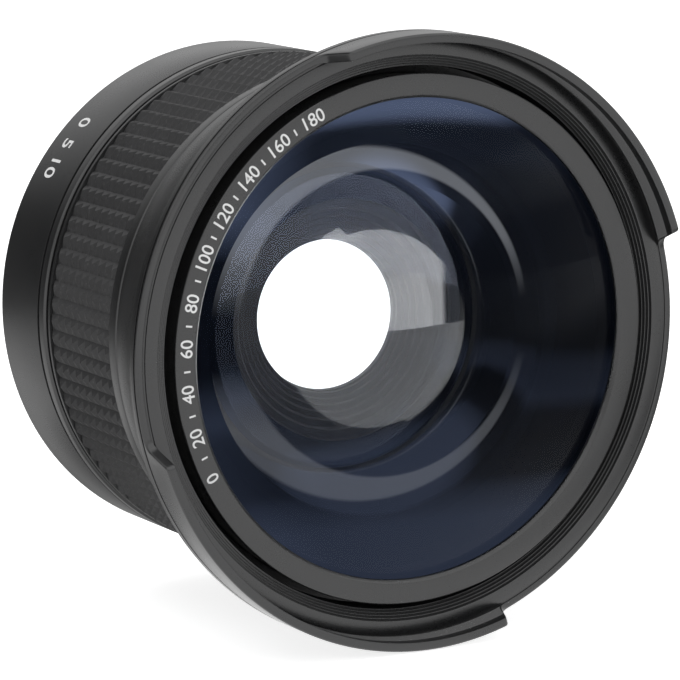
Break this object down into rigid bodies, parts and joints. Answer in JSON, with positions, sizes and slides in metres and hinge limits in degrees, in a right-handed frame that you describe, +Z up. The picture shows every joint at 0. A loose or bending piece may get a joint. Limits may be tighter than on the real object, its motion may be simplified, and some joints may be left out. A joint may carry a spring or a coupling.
{
  "type": "fisheye converter lens",
  "caption": "Wide fisheye converter lens with a two-petal hood and a ribbed grip, whose front unit unscrews from a rear close-up unit with a filter thread.",
  "frame": {"origin": "on the optical axis at the rear ring's back face, where the mount thread starts and the lens seats", "axes": "+Y along the optical axis to the rear, out of the mount thread; the lens looks along -Y; +Z up"},
  "size_m": [0.0726, 0.0547, 0.0726],
  "materials": {
    "black_metal": "fine satin black anodising",
    "inner_black": "matt black anodising inside the barrel",
    "grip_rubber": "moulded rubber with small pyramids",
    "gasket_rubber": "plain soft black",
    "coated_glass": "polished, coated with a faint blue tint",
    "brass_shim": "rolled",
    "screw_steel": "blackened"
  },
  "bodies": {
    "closeup_unit": {"macro_barrel": "black_metal", "macro_element": "coated_glass", "macro_gasket": "gasket_rubber", "macro_retaining_ring": "inner_black"},
    "glass_stack": {"front_element": "coated_glass", "front_gasket": "gasket_rubber", "seat_gasket": "gasket_rubber", "front_spacer": "inner_black", "second_element": "coated_glass", "light_baffle": "inner_black", "third_element": "coated_glass", "lens_cell": "inner_black", "cell_shim": "brass_shim"},
    "front_unit": {"main_barrel": "black_metal", "coupling_ring": "inner_black", "coupling_screws": "screw_steel", "rubber_grip": "grip_rubber", "front_hood": "black_metal", "hood_screws": "screw_steel", "name_ring": "black_metal", "third_retaining_ring": "inner_black"}
  },
  "joints": [
    {"name": "front_unit_advance", "type": "slide", "parent": "closeup_unit", "child": "glass_stack", "axis": [0, -1, 0], "range_m": [0, 0.00375]},
    {"name": "front_unit_turn", "type": "hinge", "parent": "glass_stack", "child": "front_unit", "pos_m": [0, -0.02, 0], "axis": [0, -1, 0], "range_deg": [0, 1800]}
  ],
  "couplings": [
    {"joint": "front_unit_advance", "follows": "front_unit_turn", "m_per_rad": 0.00011937}
  ]
}
